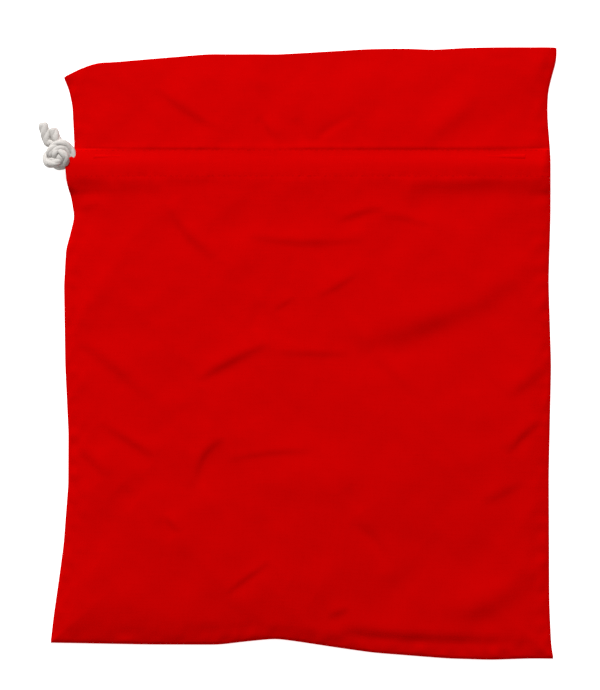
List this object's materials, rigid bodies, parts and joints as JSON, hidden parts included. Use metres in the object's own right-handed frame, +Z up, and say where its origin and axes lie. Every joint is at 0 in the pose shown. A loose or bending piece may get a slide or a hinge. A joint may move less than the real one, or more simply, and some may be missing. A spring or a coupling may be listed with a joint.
{
  "type": "drawstring stuff sack",
  "caption": "Flat, empty cotton drawstring sack lying on its back, with a deep folded header above a cord casing, a one-sided exit and a knotted cord.",
  "frame": {"origin": "middle of the sack's underside, where it lies on its back panel", "axes": "+X across the sack towards the side seam where the drawcord turns back, +Y from the bottom seam to the mouth, +Z up from the back panel to the front panel"},
  "size_m": [0.2648, 0.305, 0.0158],
  "materials": {
    "red_cotton": "plain-woven bright red cotton, matt, laundered and lightly creased",
    "sewing_thread": "red spun polyester sewing thread, matt",
    "overlock_thread": "red textured looper threads, matt",
    "natural_cord": "undyed soft cotton cord, matt, slightly fluffy"
  },
  "bodies": {
    "sack": {"back_panel": "red_cotton", "back_hem": "red_cotton", "back_casing_upper_thread": "sewing_thread", "back_casing_lower_thread": "sewing_thread", "left_seam_allowance": "red_cotton", "left_overlock_thread": "overlock_thread", "left_seam_thread": "sewing_thread", "right_seam_allowance": "red_cotton", "right_overlock_thread": "overlock_thread", "right_seam_thread": "sewing_thread", "bottom_seam_allowance": "red_cotton", "bottom_overlock_thread": "overlock_thread", "bottom_seam_thread": "sewing_thread", "exit_backtack": "sewing_thread", "drawcord_turn": "natural_cord"},
    "front_panel": {"front_panel": "red_cotton", "front_hem": "red_cotton", "front_casing_upper_thread": "sewing_thread", "front_casing_lower_thread": "sewing_thread"},
    "drawcord": {"drawcord_back_run": "natural_cord", "drawcord_knot": "natural_cord", "drawcord_long_tail": "natural_cord", "drawcord_short_tail": "natural_cord"},
    "front_strand": {"drawcord_front_run": "natural_cord"}
  },
  "joints": [
    {"name": "mouth_open", "type": "hinge", "parent": "sack", "child": "front_panel", "pos_m": [0, -0.1525, 0.0008], "axis": [1, 0, 0], "range_deg": [0, 12]},
    {"name": "cord_pull", "type": "slide", "parent": "sack", "child": "drawcord", "axis": [1, 0, 0], "range_m": [-0.2, 0]},
    {"name": "front_strand_lift", "type": "hinge", "parent": "drawcord", "child": "front_strand", "pos_m": [0, -0.1525, 0.0008], "axis": [1, 0, 0], "range_deg": [0, 12]}
  ],
  "couplings": [
    {"joint": "front_strand_lift", "follows": "mouth_open", "ratio": 1}
  ]
}
